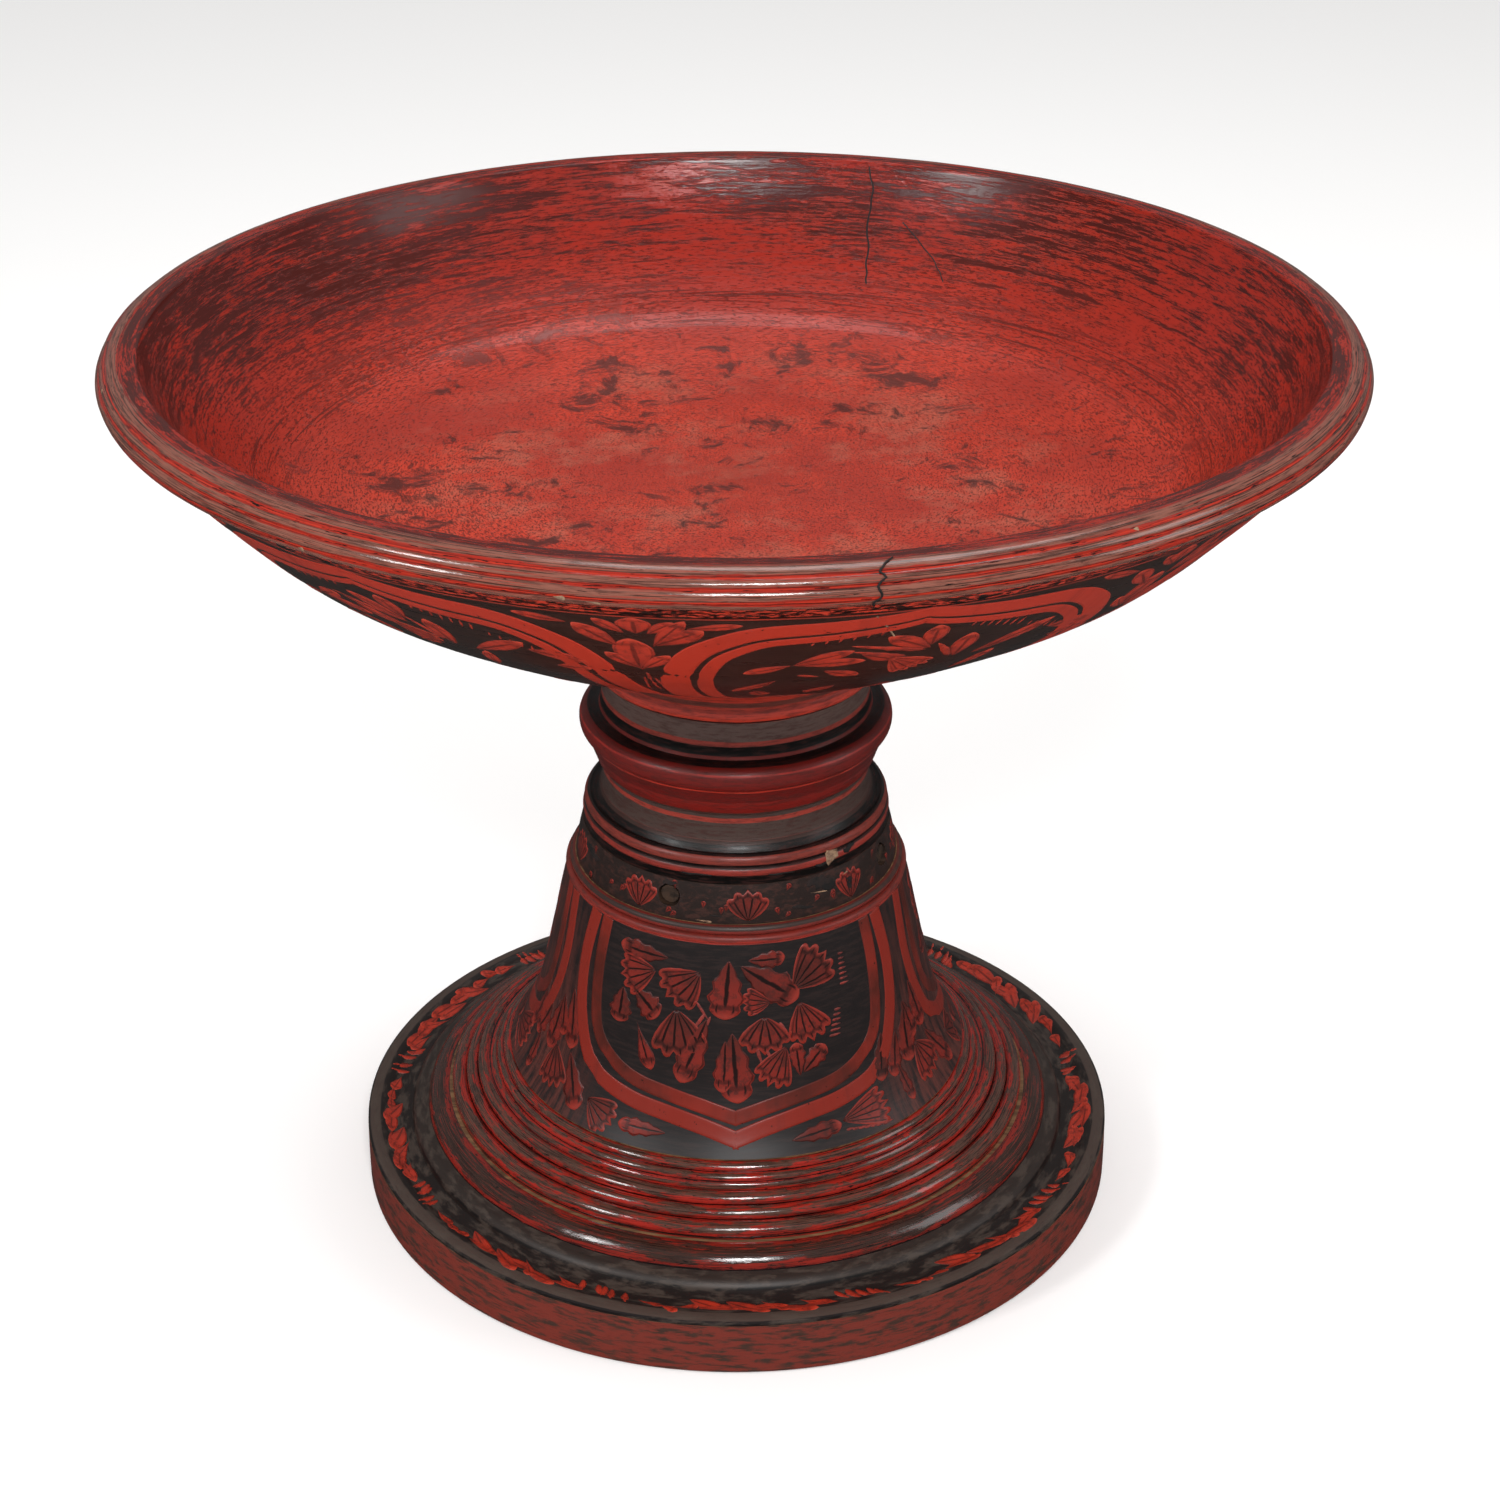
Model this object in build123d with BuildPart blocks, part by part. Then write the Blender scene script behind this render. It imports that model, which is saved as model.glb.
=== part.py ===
# A lacquered dish on a turned foot: a wide shallow bowl on a baluster stem, a bell and a stepped foot.
# Every main piece is turned, so half its section is drawn beside the axis and revolved.
# Millimetres, +Z up, with the origin at the centre of the ring that the foot stands on.

from build123d import *

import os
from math import cos, radians, sin

# Overall sizes
rim_radius = 220.0  # outside of the rim hoop
lip_height = 345.0  # top of the lip above the table
foot_radius = 146.6  # outside of the base hoop

# Heights at which one piece meets the next
base_ledge = 12.0  # ledge inside the base hoop that carries the foot disc
hoop_top = 21.0  # top of the base hoop, under the foot disc's edge
disc_top = 27.2  # foot disc to step ring
step_top = 33.6  # step ring to reeded ring
reeded_top = 51.6  # reeded ring to bell
bell_top = 136.4  # bell to collar
collar_top = 151.2  # collar to stem
stem_top = 229.5  # stem to bowl
hoop_seat = 333.0  # shoulder of the bowl that carries the rim hoop

# Spigots, tenons and the hollow under the foot
spigot_radius = 84.0  # the bell's spigot, in the bores of the foot's rings
hollow_radius = 76.0  # the turned-out hollow at the bell's mouth
hollow_top = 108.0  # underside of the bell's solid head
lower_tenon_radius = 27.0
lower_tenon_end = 104.0
upper_tenon_radius = 25.0
upper_tenon_end = 262.0
ledge_radius = 134.0  # inside of the base hoop's ledge
disc_spigot_radius = 140.0  # the foot disc's rebated edge, inside the base hoop
rebate_radius = 211.0  # outside of the bowl's lip, inside of the rim hoop

# Collar pegs, foot dowels and tenon wedge
peg_radius = 3.5
peg_height = 145.0
peg_count = 4
first_peg = -114.0  # degrees round from +X
peg_outer = 58.6  # the peg heads stand a little below the collar's face
peg_inner = 18.0
dowel_radius = 2.5
dowel_count = 6
dowel_circle = (ledge_radius + disc_spigot_radius) / 2
dowel_bottom = 1.0
dowel_top = 19.0
wedge_tip = 2.4
wedge_mouth = 5.6
wedge_length = 24.0


def bead(start, end, rise):
    # An arc that stands proud of its chord by rise, on the outer side of a chord that runs down and out.
    run, drop = end[0] - start[0], end[1] - start[1]
    length = (run**2 + drop**2) ** 0.5
    middle_x, middle_z = (start[0] + end[0]) / 2, (start[1] + end[1]) / 2
    crown = (middle_x - drop / length * rise, middle_z + run / length * rise)
    ThreePointArc(start, crown, end)


def beads(points, rises):
    # A row of beads through the points, with one rise for each.
    for start, end, rise in zip(points, points[1:], rises):
        bead(start, end, rise)


def peg_planes(radius):
    # One plane for each peg, facing out from the axis.
    planes = []
    for number in range(peg_count):
        angle = radians(first_peg + number * 360 / peg_count)
        outward = Vector(cos(angle), sin(angle), 0)
        planes.append(Plane(origin=outward * radius + Vector(0, 0, peg_height), z_dir=outward))
    return planes


os.makedirs("parts", exist_ok=True)


# Base hoop: the upright band round the foot, with a ledge inside that carries the foot disc.
hoop_chamfer = 1.0

with BuildPart() as base_hoop:
    with BuildSketch(Plane.XZ):
        with BuildLine():
            Polyline(
                (foot_radius - hoop_chamfer, 0),
                (ledge_radius, 0),
                (ledge_radius, base_ledge),
                (disc_spigot_radius, base_ledge),
                (disc_spigot_radius, hoop_top),
                (foot_radius - 0.2, hoop_top),
                (foot_radius, hoop_top / 2),
                (foot_radius, hoop_chamfer),
                close=True,
            )
        make_face()
    revolve(axis=Axis.Z)
    with BuildSketch():
        with PolarLocations(dowel_circle, dowel_count):
            Circle(dowel_radius)
    extrude(amount=dowel_top, mode=Mode.SUBTRACT)
base_hoop.part.label = "base_hoop"
export_step(base_hoop.part, "parts/base_hoop.step")


# Foot disc: a plate with a rounded shoulder, a shallow painted channel and a raised edge.
disc_shoulder = (123.9, 26.6)
channel_inner = (129.0, 22.0)
channel_outer = (137.5, 21.6)
disc_edge = (foot_radius - 0.3, 22.2)

with BuildPart() as foot_disc:
    with BuildSketch(Plane.XZ):
        with BuildLine():
            Polyline(
                disc_edge,
                (disc_edge[0], hoop_top),
                (disc_spigot_radius, hoop_top),
                (disc_spigot_radius, base_ledge),
                (spigot_radius, base_ledge),
                (spigot_radius, disc_top),
                (disc_shoulder[0] - 1.0, disc_top),
                disc_shoulder,
            )
            beads([disc_shoulder, channel_inner, channel_outer, disc_edge], [1.2, -0.7, 1.5])
        make_face()
    revolve(axis=Axis.Z)
    with BuildSketch():
        with PolarLocations(dowel_circle, dowel_count):
            Circle(dowel_radius)
    extrude(amount=dowel_top, mode=Mode.SUBTRACT)
foot_disc.part.label = "foot_disc"
export_step(foot_disc.part, "parts/foot_disc.step")


# Foot dowels: driven from below through the ledge into the foot disc.
with BuildPart() as foot_dowels:
    with BuildSketch(Plane.XY.offset(dowel_bottom)):
        with PolarLocations(dowel_circle, dowel_count):
            Circle(dowel_radius)
    extrude(amount=dowel_top - dowel_bottom)
foot_dowels.part.label = "foot_dowels"
export_step(foot_dowels.part, "parts/foot_dowels.step")


# Step ring: one broad round moulding on the foot disc.
step_inner, step_outer = (113.8, step_top), (122.4, disc_top)

with BuildPart() as step_ring:
    with BuildSketch(Plane.XZ):
        with BuildLine():
            Polyline(step_outer, (spigot_radius, disc_top), (spigot_radius, step_top), step_inner)
            bead(step_inner, step_outer, 2.0)
        make_face()
    revolve(axis=Axis.Z)
step_ring.part.label = "step_ring"
export_step(step_ring.part, "parts/step_ring.step")


# Reeded ring: two fine beads, a hollow and three round beads that step down from the bell.
reeds = [
    (88.6, reeded_top),
    (91.9, 48.9),
    (94.6, 46.6),
    (97.4, 44.7),
    (102.2, 41.6),
    (106.7, 38.3),
    (112.4, 34.6),
]
reed_rises = [1.1, 0.8, -0.6, 1.9, 1.9, 2.3]

with BuildPart() as reeded_ring:
    with BuildSketch(Plane.XZ):
        with BuildLine():
            Polyline(
                reeds[-1],
                (reeds[-1][0], step_top),
                (spigot_radius, step_top),
                (spigot_radius, reeded_top),
                reeds[0],
            )
            beads(reeds, reed_rises)
        make_face()
    revolve(axis=Axis.Z)
reeded_ring.part.label = "reeded_ring"
export_step(reeded_ring.part, "parts/reeded_ring.step")


# Bell: hollow below, with a solid head bored for the stem's tenon and two beads round its top.
bell_beads = [(61.4, bell_top), (62.9, 133.0), (64.6, 130.2)]
bell_flank = [
    (64.6, 130.0),
    (67.0, 120.0),
    (70.2, 105.0),
    (73.5, 90.0),
    (76.9, 76.0),
    (80.8, 66.0),
    (84.9, 58.0),
    (88.9, 52.4),
]
hollow_flank = [(hollow_radius, 50.0), (69.0, 66.0), (63.0, 88.0), (57.0, hollow_top)]

with BuildPart() as bell:
    with BuildSketch(Plane.XZ):
        with BuildLine():
            Polyline(
                bell_flank[-1],
                (reeds[0][0], reeded_top),
                (spigot_radius, reeded_top),
                (spigot_radius, base_ledge),
                (hollow_radius, base_ledge),
                hollow_flank[0],
            )
            Spline(*hollow_flank)
            Polyline(
                hollow_flank[-1],
                (lower_tenon_radius, hollow_top),
                (lower_tenon_radius, bell_top),
                bell_beads[0],
            )
            beads(bell_beads, [1.2, 1.2])
            Line(bell_beads[-1], bell_flank[0])
            Spline(*bell_flank)
        make_face()
    revolve(axis=Axis.Z)
bell.part.label = "bell"
export_step(bell.part, "parts/bell.step")


# Collar: the painted ring round the stem's tenon, pegged through its side.
collar_lower, collar_upper = (61.0, bell_top), (58.0, collar_top)

with BuildPart() as collar:
    with BuildSketch(Plane.XZ):
        with BuildLine():
            Polyline(
                collar_lower,
                (lower_tenon_radius, bell_top),
                (lower_tenon_radius, collar_top),
                collar_upper,
            )
            bead(collar_upper, collar_lower, 0.3)
        make_face()
    revolve(axis=Axis.Z)
    for plane in peg_planes(rim_radius):
        with BuildSketch(plane):
            Circle(peg_radius)
        extrude(amount=peg_inner - rim_radius, mode=Mode.SUBTRACT)
collar.part.label = "collar"
export_step(collar.part, "parts/collar.step")


# Collar pegs: hold the collar to the stem's tenon.
with BuildPart() as collar_pegs:
    for plane in peg_planes(peg_outer):
        with BuildSketch(plane):
            Circle(peg_radius)
        extrude(amount=peg_inner - peg_outer)
collar_pegs.part.label = "collar_pegs"
export_step(collar_pegs.part, "parts/collar_pegs.step")


# Tenon wedge: spreads the end of the stem's lower tenon inside the bell.
with BuildPart() as tenon_wedge:
    with BuildSketch(Plane.XZ):
        with BuildLine():
            Polyline(
                (-wedge_mouth / 2, lower_tenon_end),
                (wedge_mouth / 2, lower_tenon_end),
                (wedge_tip / 2, lower_tenon_end + wedge_length),
                (-wedge_tip / 2, lower_tenon_end + wedge_length),
                close=True,
            )
        make_face()
    extrude(amount=lower_tenon_radius, both=True)
    with BuildSketch(Plane.XY.offset(lower_tenon_end)):
        Circle(lower_tenon_radius)
    extrude(amount=wedge_length, mode=Mode.INTERSECT)
tenon_wedge.part.label = "tenon_wedge"
export_step(tenon_wedge.part, "parts/tenon_wedge.step")


# Stem: a flare under the bowl, a neck, a fat knop over a band, a second neck and a double ring.
flare_top = (61.0, stem_top)
flare_roll = [(52.6, 219.0), (50.4, 212.8)]
upper_neck = [flare_roll[-1], (49.7, 207.0), (51.0, 198.4)]
knop = [(54.6, 197.8), (58.3, 192.0), (56.0, 188.2)]
band = [knop[-1], (55.6, 187.4), (52.0, 177.4)]
lower_neck = [(50.2, 175.6), (50.3, 169.0), (53.2, 161.8)]
double_ring = [(55.0, 162.2), (56.6, 157.6), (57.6, 154.6)]

with BuildPart() as stem:
    with BuildSketch(Plane.XZ):
        with BuildLine():
            Polyline(
                (57.8, collar_top),
                (lower_tenon_radius, collar_top),
                (lower_tenon_radius, lower_tenon_end),
                (0, lower_tenon_end),
                (0, upper_tenon_end),
                (upper_tenon_radius, upper_tenon_end),
                (upper_tenon_radius, stem_top),
                flare_top,
            )
            bead(flare_top, flare_roll[0], -1.2)
            bead(*flare_roll, 1.3)
            ThreePointArc(*upper_neck)
            Line(upper_neck[-1], knop[0])
            ThreePointArc(*knop)
            Polyline(*band, lower_neck[0])
            ThreePointArc(*lower_neck)
            Line(lower_neck[-1], double_ring[0])
            beads(double_ring, [1.3, 0.7])
            Line(double_ring[-1], (57.8, collar_top))
        make_face()
    revolve(axis=Axis.Z)
    for plane in peg_planes(peg_outer):
        with BuildSketch(plane):
            Circle(peg_radius)
        extrude(amount=peg_inner - peg_outer, mode=Mode.SUBTRACT)
    add(tenon_wedge.part, mode=Mode.SUBTRACT)
stem.part.label = "stem"
export_step(stem.part, "parts/stem.step")


# Bowl: a shallow dish with a flat floor, a blind socket below and a rebate outside its lip.
outside = [
    flare_top,
    (80.0, 237.8),
    (110.0, 252.6),
    (140.0, 268.6),
    (170.0, 287.8),
    (195.0, 312.0),
    (213.6, hoop_seat),
]
dish_floor = [(100.0, 285.2), (130.0, 286.0), (156.0, 289.0)]
dish_wall = [dish_floor[-1], (186.0, 314.0), (205.3, lip_height - 1.0)]

with BuildPart() as bowl:
    with BuildSketch(Plane.XZ):
        with BuildLine():
            Polyline((0, upper_tenon_end), (0, dish_floor[0][1]), dish_floor[0])
            Spline(*dish_floor)
            ThreePointArc(*dish_wall)
            Polyline(
                dish_wall[-1],
                (dish_wall[-1][0] + 1.0, lip_height),
                (rebate_radius, lip_height),
                (rebate_radius, hoop_seat),
                outside[-1],
            )
            Spline(*outside)
            Polyline(
                outside[0],
                (upper_tenon_radius, stem_top),
                (upper_tenon_radius, upper_tenon_end),
                (0, upper_tenon_end),
            )
        make_face()
    revolve(axis=Axis.Z)
bowl.part.label = "bowl"
export_step(bowl.part, "parts/bowl.step")


# Rim hoop: three reeds that step down and out over a rounded underside that overhangs the bowl.
rim_reeds = [(rebate_radius, lip_height), (216.6, 343.0), (218.4, 340.3), (rim_radius - 0.4, 336.6)]
rim_foot = (216.0, hoop_seat)

with BuildPart() as rim_hoop:
    with BuildSketch(Plane.XZ):
        with BuildLine():
            Polyline(rim_foot, (rebate_radius, hoop_seat), rim_reeds[0])
            beads([*rim_reeds, rim_foot], [0.9, 0.6, 0.8, 0.9])
        make_face()
    revolve(axis=Axis.Z)
rim_hoop.part.label = "rim_hoop"
export_step(rim_hoop.part, "parts/rim_hoop.step")
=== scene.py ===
import bisect
import math
import random

import bmesh
import bpy
from mathutils import Matrix, Vector


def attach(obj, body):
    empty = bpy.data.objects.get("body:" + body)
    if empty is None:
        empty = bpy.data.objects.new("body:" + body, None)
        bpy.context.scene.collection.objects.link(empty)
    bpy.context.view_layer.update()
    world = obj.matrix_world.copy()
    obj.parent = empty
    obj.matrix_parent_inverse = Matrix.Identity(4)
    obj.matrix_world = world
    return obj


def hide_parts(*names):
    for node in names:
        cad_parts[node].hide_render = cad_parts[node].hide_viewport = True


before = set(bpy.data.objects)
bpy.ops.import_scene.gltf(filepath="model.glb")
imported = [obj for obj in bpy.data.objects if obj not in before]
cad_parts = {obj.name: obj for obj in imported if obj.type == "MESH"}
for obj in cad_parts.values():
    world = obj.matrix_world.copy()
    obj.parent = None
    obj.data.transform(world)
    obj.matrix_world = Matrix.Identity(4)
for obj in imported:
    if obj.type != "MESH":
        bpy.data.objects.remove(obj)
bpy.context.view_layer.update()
mm = 0.001
print("frame loaded:", len(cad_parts), "nodes")


# Outlines: half a turned section, listed from run to run as (name, points, shape) in millimetres.
# A shape of None is straight, "curve" passes smoothly through its points, and a list of rises makes beads.

def between(first, second, share):
    return tuple(a + (b - a) * share for a, b in zip(first, second))


def beadPoints(start, end, rise, steps=10):
    run, drop = end[0] - start[0], end[1] - start[1]
    length = math.hypot(run, drop)
    radius = (length * length / 4 + rise * rise) / (2 * abs(rise))
    half = math.asin(min(1.0, length / 2 / radius))
    points = []
    for i in range(1, steps + 1):
        turn = -half + 2 * half * i / steps
        across = radius * math.sin(turn) + length / 2
        proud = (radius * math.cos(turn) - (radius - abs(rise))) * (1 if rise > 0 else -1)
        points.append((
            start[0] + run / length * across - drop / length * proud,
            start[1] + drop / length * across + run / length * proud,
        ))
    return points


def curvePoints(points, spacing):
    out = []
    for i in range(len(points) - 1):
        a, b, c, d = points[max(i - 1, 0)], points[i], points[i + 1], points[min(i + 2, len(points) - 1)]
        steps = max(2, round(math.dist(b, c) / spacing))
        for k in range(1, steps + 1):
            t = k / steps
            weights = (
                (-t + 2 * t * t - t ** 3) / 2,
                (2 - 5 * t * t + 3 * t ** 3) / 2,
                (t + 4 * t * t - 3 * t ** 3) / 2,
                (t ** 3 - t * t) / 2,
            )
            out.append(tuple(sum(w * p[j] for w, p in zip(weights, (a, b, c, d))) for j in (0, 1)))
    return out


def drawOutline(start, runs, spacing=3.0):
    points, crests, marks, along = [start], [0.5], {}, [0.0]
    for name, targets, shape in runs:
        first = along[-1]
        here = points[-1]
        fresh, tops = [], []
        if shape == "curve":
            fresh = curvePoints([here, *targets], spacing)
            tops = [0.5] * len(fresh)
        else:
            for target, rise in zip(targets, shape or [None] * len(targets)):
                if rise is None:
                    steps = max(1, round(math.dist(here, target) / spacing / 3))
                    stretch = [between(here, target, k / steps) for k in range(1, steps + 1)]
                    tops += [0.5] * steps
                else:
                    stretch = beadPoints(here, target, rise)
                    tops += [math.sin(math.pi * (k + 1) / len(stretch)) for k in range(len(stretch))]
                fresh += stretch
                here = target
        for point, top in zip(fresh, tops):
            along.append(along[-1] + math.dist(points[-1], point))
            points.append(point)
            crests.append(top)
        marks[name] = (first, along[-1])
    return {"points": points, "crests": crests, "along": along, "marks": marks}


turning = {"sectors": 16, "sharpAngle": 38, "joinWithin": 2e-6, "ripples": ((0.03, 1.0), (0.008, 0.5))}


def turnPiece(name, outline, steps, finishes, zones, closed, uneven=0.0):
    bm = bmesh.new()
    alongLayer = bm.verts.layers.float.new("along")
    crestLayer = bm.verts.layers.float.new("crest")
    verts = []
    for (r, z), along, crest in zip(outline["points"], outline["along"], outline["crests"]):
        vert = bm.verts.new((0, -r * mm, z * mm))
        vert[alongLayer] = along
        vert[crestLayer] = crest
        verts.append(vert)
    edges = [bm.edges.new(pair) for pair in zip(verts, verts[1:])]
    if closed:
        edges.append(bm.edges.new((verts[-1], verts[0])))
    turned = 2 * math.pi / turning["sectors"]
    bmesh.ops.spin(
        bm, geom=verts + edges, cent=(0, 0, 0), axis=(0, 0, 1), dvec=(0, 0, 0),
        angle=turned, steps=steps // turning["sectors"], use_merge=False, use_duplicate=False,
    )
    while turned < 2 * math.pi - 0.001:  # the first sector is doubled until it closes the circle
        copied = bmesh.ops.duplicate(bm, geom=bm.verts[:] + bm.edges[:] + bm.faces[:])["geom"]
        moved = [item for item in copied if isinstance(item, bmesh.types.BMVert)]
        bmesh.ops.rotate(bm, verts=moved, cent=(0, 0, 0), matrix=Matrix.Rotation(turned, 3, "Z"))
        turned *= 2
    bmesh.ops.remove_doubles(bm, verts=bm.verts, dist=turning["joinWithin"])
    bmesh.ops.recalc_face_normals(bm, faces=bm.faces)
    limits = [(outline["marks"][run][1], index) for run, index in zones]
    for face in bm.faces:
        face.smooth = True
        where = sum(v[alongLayer] for v in face.verts) / len(face.verts)
        face.material_index = next((index for end, index in limits if where <= end), limits[-1][1])
    piece = finishMesh(bm, name, finishes)
    piece.data.set_sharp_from_angle(angle=math.radians(turning["sharpAngle"]))
    for size, share in turning["ripples"] if uneven else ():
        cloud = bpy.data.textures.new(f"{name}_{size}", "CLOUDS")
        cloud.noise_scale = size
        ripple = piece.modifiers.new(f"ripple_{size}", "DISPLACE")
        ripple.texture = cloud
        ripple.texture_coords = "LOCAL"
        ripple.strength = uneven * share * mm
    return piece


def finishMesh(bm, name, finishes):
    mesh = bpy.data.meshes.new(name)
    bm.to_mesh(mesh)
    bm.free()
    for finish in finishes:
        mesh.materials.append(finish)
    piece = bpy.data.objects.new(name, mesh)
    bpy.context.collection.objects.link(piece)
    return piece


def settle(piece, node):
    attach(piece, "root")
    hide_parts(node)


# Node helpers

def tint(code):
    parts = [int(code[i:i + 2], 16) / 255 for i in (0, 2, 4)]
    return (*[p / 12.92 if p <= 0.04045 else ((p + 0.055) / 1.055) ** 2.4 for p in parts], 1.0)


def addNode(tree, kind, inputs, **settings):
    node = tree.nodes.new(kind)
    for key, value in settings.items():
        setattr(node, key, value)
    for key, value in inputs.items():
        if isinstance(value, bpy.types.NodeSocket):
            tree.links.new(value, node.inputs[key])
        else:
            node.inputs[key].default_value = value
    return node


def sums(tree, operation, *values):
    return addNode(tree, "ShaderNodeMath", dict(enumerate(values)), operation=operation).outputs[0]


def times(tree, first, second):
    return sums(tree, "MULTIPLY", first, second)


def minus(tree, first, second):
    return sums(tree, "SUBTRACT", first, second)


def weighted(tree, total, *parts):
    # the total, and each value after it times its weight
    for value, weight in parts:
        total = sums(tree, "ADD", total, times(tree, value, weight))
    return total


def step(tree, value, low, high):
    return addNode(
        tree, "ShaderNodeMapRange", {"Value": value, "From Min": low, "From Max": high},
        interpolation_type="SMOOTHSTEP",
    ).outputs["Result"]


def mixTint(tree, share, first, second):
    return addNode(tree, "ShaderNodeMix", {0: share, 6: first, 7: second}, data_type="RGBA").outputs[2]


def stained(tree, colour, code, value, low, high, share=1.0):
    # another colour comes in as the value passes from low to high
    much = step(tree, value, low, high)
    if share < 1:
        much = times(tree, much, share)
    return mixTint(tree, much, colour, tint(code))


def bandTint(tree, along, bands, soft=0.2):
    # bands: (where it starts along the section in mm, colour), in order
    colour = tint(bands[0][1])
    for at, code in bands[1:]:
        colour = stained(tree, colour, code, along, at - soft, at + soft)
    return colour


def grain(tree, vector, scale=1.0, detail=4.0, rough=0.6, twist=0.0):
    return addNode(
        tree, "ShaderNodeTexNoise",
        {"Vector": vector, "Scale": scale, "Detail": detail, "Roughness": rough, "Distortion": twist},
    ).outputs["Fac"]


def arrows(tree, operation, inputs):
    return addNode(tree, "ShaderNodeVectorMath", inputs, operation=operation).outputs[0]


def turnedGrain(tree, around, across, **look):
    # slow round the axis and quick along the section, as a lathe or a brush held to turning work marks it
    flat = arrows(tree, "MULTIPLY", {0: objectPlace(tree), 1: (1, 1, 0)})
    unit = arrows(tree, "NORMALIZE", {0: flat})
    wide = arrows(tree, "SCALE", {0: unit, "Scale": around})
    height = times(tree, layerValue(tree, "along"), across)
    rise = addNode(tree, "ShaderNodeCombineXYZ", {"Z": height}).outputs[0]
    return grain(tree, arrows(tree, "ADD", {0: wide, 1: rise}), **look)


def objectPlace(tree):
    return addNode(tree, "ShaderNodeTexCoord", {}).outputs["Object"]


def layerValue(tree, name):
    return addNode(tree, "ShaderNodeAttribute", {}, attribute_name=name).outputs["Fac"]


def newFinish(name):
    finish = bpy.data.materials.new(name)
    finish.use_nodes = True
    tree = finish.node_tree
    tree.nodes.clear()
    shader = addNode(tree, "ShaderNodeBsdfPrincipled", {})
    addNode(tree, "ShaderNodeOutputMaterial", {0: shader.outputs[0]})
    return finish, tree, shader


def finishSurface(tree, shader, colour, rough, height, depth, coat=0.0, specular=0.3):
    tree.links.new(colour, shader.inputs["Base Color"])
    tree.links.new(rough, shader.inputs["Roughness"])
    shader.inputs["Coat Weight"].default_value = coat
    shader.inputs["Coat Roughness"].default_value = 0.12
    shader.inputs["Specular IOR Level"].default_value = specular
    bump = addNode(tree, "ShaderNodeBump", {"Height": height, "Strength": 1.0, "Distance": depth * mm})
    tree.links.new(bump.outputs[0], shader.inputs["Normal"])


# Finishes

def bareWood(name, light, dark):
    finish, tree, shader = newFinish(name)
    squashed = arrows(tree, "MULTIPLY", {0: objectPlace(tree), 1: (1, 8, 8)})
    rings = grain(tree, squashed, 40, detail=6, rough=0.6, twist=0.8)
    colour = stained(tree, tint(light), dark, rings, 0.35, 0.65)
    finishSurface(tree, shader, colour, weighted(tree, 0.6, (rings, 0.2)), rings, 0.3)
    return finish


def groundLacquer(name, bands, wear, gloss=0.22, worn=0.5, relief=0.12, brushed=(7, 0.9), coat=0.04,
                  speckled=None, sideSheen=None):
    # The bands' edges waver like a held brush, and wear shows in streaks as long and fine as brushed says.
    # speckled: (start, end) of a stretch where red shows through black in fine broken flecks
    # and the last: the distances left and right of the middle, in mm, over which a red brown painted sheen
    # comes in at the far sides, broken into downward streaks
    finish, tree, shader = newFinish(name)
    place = objectPlace(tree)
    waver = minus(tree, grain(tree, place, 45, detail=2), 0.5)
    along = weighted(tree, layerValue(tree, "along"), (waver, 0.9))
    streak = turnedGrain(tree, *brushed, detail=6, rough=0.65, twist=0.3)
    fine = turnedGrain(tree, 24, 2.2, detail=4, rough=0.7)
    colour = stained(tree, bandTint(tree, along, bands), wear, streak, 0.46, 0.62, worn)
    # painted sheen: red brown laid over the far left and right sides as seen from the front, in downward
    # streaks
    if sideSheen:
        aside = addNode(tree, "ShaderNodeSeparateXYZ", {0: place}).outputs["X"]
        aside = sums(tree, "DIVIDE", sums(tree, "ABSOLUTE", aside), mm)
        downward = turnedGrain(tree, 30, 0.05, detail=5, rough=0.7)
        share = times(tree, step(tree, aside, *sideSheen), step(tree, downward, 0.36, 0.62))
        colour = mixTint(tree, times(tree, share, 0.55), colour, tint("6a3026"))
    colour = stained(tree, colour, "0d0807", fine, 0.55, 0.7, 0.45)
    if speckled:
        start, end = speckled
        red = step(tree, turnedGrain(tree, 52, 0.95, detail=5, rough=0.72), 0.505, 0.54)
        within = times(tree, step(tree, along, start, start + 0.8), step(tree, along, end, end - 0.8))
        colour = mixTint(tree, times(tree, red, within), colour, tint("b4321e"))
    rough = weighted(tree, gloss, (streak, 0.14))
    height = weighted(tree, streak, (grain(tree, place, 160, detail=3), 0.5))
    finishSurface(tree, shader, colour, rough, height, relief, coat, specular=0.35)
    return finish


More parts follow.
